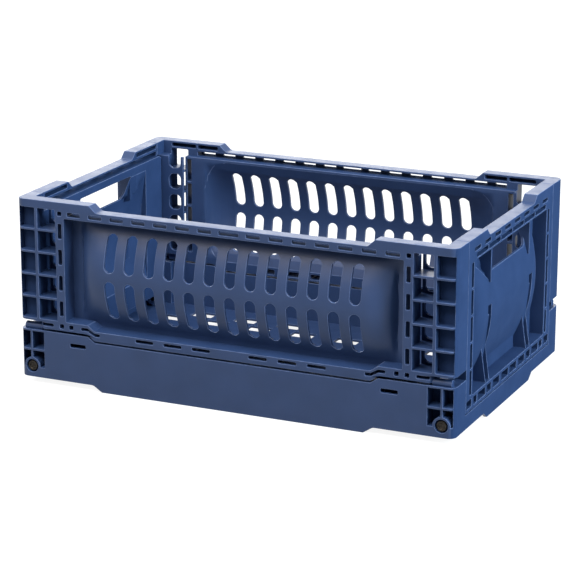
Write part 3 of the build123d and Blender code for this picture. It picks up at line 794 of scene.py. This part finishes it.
# %% [markdown]
# ## Pin metal
#
# The pins are dark oxidised steel. Oxide is uneven, so its shade and its gloss both follow a noise, a
# coarse one for the stains and a fine one for the polish. The shader is fully metallic, and the dark
# base colour tints what it reflects.

# %% Pin metal
DARK_OXIDE, PALE_OXIDE = (0.014, 0.013, 0.012), (0.042, 0.037, 0.032)
STAINS, STAIN_DETAIL = 900.0, 3.0
POLISH, POLISH_DETAIL, POLISHED, DULL = 2500.0, 2.0, 0.28, 0.5


def pin_steel():
    material = bpy.data.materials.new("pin_metal")
    material.use_nodes = True
    nodes, links = material.node_tree.nodes, material.node_tree.links
    shader = nodes["Principled BSDF"]
    shader.inputs["Metallic"].default_value = 1.0
    place = nodes.new("ShaderNodeTexCoord").outputs["Object"]
    stain = remap(nodes, links, noise(nodes, links, place, STAINS, STAIN_DETAIL), 0.0, 1.0)
    links.new(blend_colours(nodes, links, stain, DARK_OXIDE, PALE_OXIDE), shader.inputs["Base Color"])
    polish = noise(nodes, links, place, POLISH, POLISH_DETAIL)
    links.new(remap(nodes, links, polish, POLISHED, DULL), shader.inputs["Roughness"])
    return material


steel = pin_steel()
print("material", steel.name)

# %% [markdown]
# ## Pins
#
# Seen from outside, a pin is a round head with a ring and a dished middle. A dish could be turned with
# a spin, but the head is there already: its outer face is inset three times, once for the ring, once
# almost straight in for the step, and once more for the slope of the dish.

# %% Pins
RING = 1.1
STEP, STEP_DEPTH = 0.15, -0.5
DISH, DISH_DEPTH = 0.6, -0.3


def pin(name, node):
    bm = merged(node)
    join(bm)
    head = max(bm.faces, key=lambda face: abs(face.calc_center_median().y))
    for width, depth in ((RING, 0), (STEP, STEP_DEPTH), (DISH, DISH_DEPTH)):
        bmesh.ops.inset_individual(bm, faces=[head], thickness=width, depth=depth)
    edges = soften(bm, 1, 0.0)
    print(name, edges, "edges rounded")
    return finished(bm, name, node, "crate", steel)


for corner in ("front_right", "front_left", "back_right", "back_left"):
    pin(corner + "_pin_steel", corner + "_pin")

# %% [markdown]
# ## White for the eye alone
#
# The background is plain white. A floor that is lit until it turns white would throw far too much light
# up at the crate. The Light Path node knows which ray asks: the camera, and rays mirrored in plastic or
# metal, see a bright surface, and the rays that light the crate see a dim one. The same helper serves
# the floor and the surround.

# %% White for the eye alone
def shows_white(nodes, links, dim, bright):
    ray = nodes.new("ShaderNodeLightPath")
    seen = ray.outputs["Is Camera Ray"]
    for kind in ("Is Glossy Ray", "Is Transmission Ray"):
        either = nodes.new("ShaderNodeMath")
        either.operation = "MAXIMUM"
        links.new(seen, either.inputs[0])
        links.new(ray.outputs[kind], either.inputs[1])
        seen = either.outputs["Value"]
    level = nodes.new("ShaderNodeMapRange")
    level.inputs["To Min"].default_value = dim
    level.inputs["To Max"].default_value = bright
    links.new(seen, level.inputs["Value"])
    return level.outputs["Result"]


SKY_DIM, SKY_WHITE = 0.08, 1.0
world = bpy.data.worlds.new("White surround")
world.use_nodes = True
bpy.context.scene.world = world
sky_nodes, sky_links = world.node_tree.nodes, world.node_tree.links
sky = sky_nodes["Background"]
sky.inputs["Color"].default_value = (1.0, 1.0, 1.0, 1.0)
sky_links.new(shows_white(sky_nodes, sky_links, SKY_DIM, SKY_WHITE), sky.inputs["Strength"])
bpy.context.scene.view_settings.view_transform = "Standard"
print("surround seen at", SKY_WHITE, "and lighting at", SKY_DIM)

# %% [markdown]
# ## Floor
#
# The crate stands on a wide white sheet. Most of its white is the glow that only the eye sees, and a
# little is a real grey that takes light, so the shadow under the crate stays.

# %% Floor
FLOOR_HALF = 6.0
FLOOR_GREY, FLOOR_GLOW, FLOOR_ROUGH = 0.2, 0.9, 0.9

floor_bm = bmesh.new()
bmesh.ops.create_grid(floor_bm, x_segments=1, y_segments=1, size=FLOOR_HALF)
floor_mesh = bpy.data.meshes.new("Floor")
floor_bm.to_mesh(floor_mesh)
floor_bm.free()
floor = bpy.data.objects.new("Floor", floor_mesh)
bpy.context.collection.objects.link(floor)
white = bpy.data.materials.new("white_floor")
white.use_nodes = True
white_nodes, white_links = white.node_tree.nodes, white.node_tree.links
sheet = white_nodes["Principled BSDF"]
sheet.inputs["Base Color"].default_value = (FLOOR_GREY, FLOOR_GREY, FLOOR_GREY, 1.0)
sheet.inputs["Roughness"].default_value = FLOOR_ROUGH
sheet.inputs["Specular IOR Level"].default_value = 0.0
sheet.inputs["Emission Color"].default_value = (1.0, 1.0, 1.0, 1.0)
white_links.new(shows_white(white_nodes, white_links, 0.0, FLOOR_GLOW), sheet.inputs["Emission Strength"])
floor_mesh.materials.append(white)
print("floor", 2 * FLOOR_HALF, "m wide at height 0")

# %% [markdown]
# ## Lamps
#
# Plain soft studio light from five large lamps. The top lamp gives the upper faces and the front their
# light, and a weak warm one in front lifts the left half of the plate. The back lamp stands where the
# rim mirrors it to the camera, which makes the rim the brightest part. A cool lamp at the right lights
# the end panel, and a far lamp at the back left lights the two sides that the camera doesn't see.

# %% Lamps
WARM, COOL, PLAIN = (1.0, 0.9, 0.84), (0.78, 0.92, 1.0), (1.0, 1.0, 1.0)
middle = (cad_low + cad_high) / 2


def lamp(name, place, size, power, tint):
    data = bpy.data.lights.new(name, "AREA")
    data.size = size
    data.energy = power
    data.color = tint
    made = bpy.data.objects.new(name, data)
    made.location = place
    made.rotation_mode = "QUATERNION"
    made.rotation_quaternion = (middle - Vector(place)).to_track_quat("-Z", "Y")
    bpy.context.collection.objects.link(made)
    print(name, power, "W from", place)
    return made


lamp("Top lamp", place=(0.0, -0.62, 1.2), size=0.9, power=16.0, tint=PLAIN)
lamp("Front lamp", place=(-0.38, -0.72, 0.6), size=0.45, power=2.6, tint=WARM)
lamp("Back lamp", place=(-0.8, 1.75, 0.65), size=1.0, power=9.0, tint=PLAIN)
lamp("Far lamp", place=(-1.4, 0.75, 0.95), size=0.5, power=30.0, tint=PLAIN)
lamp("Side lamp", place=(1.4, -0.1, 0.7), size=0.8, power=36.0, tint=COOL)
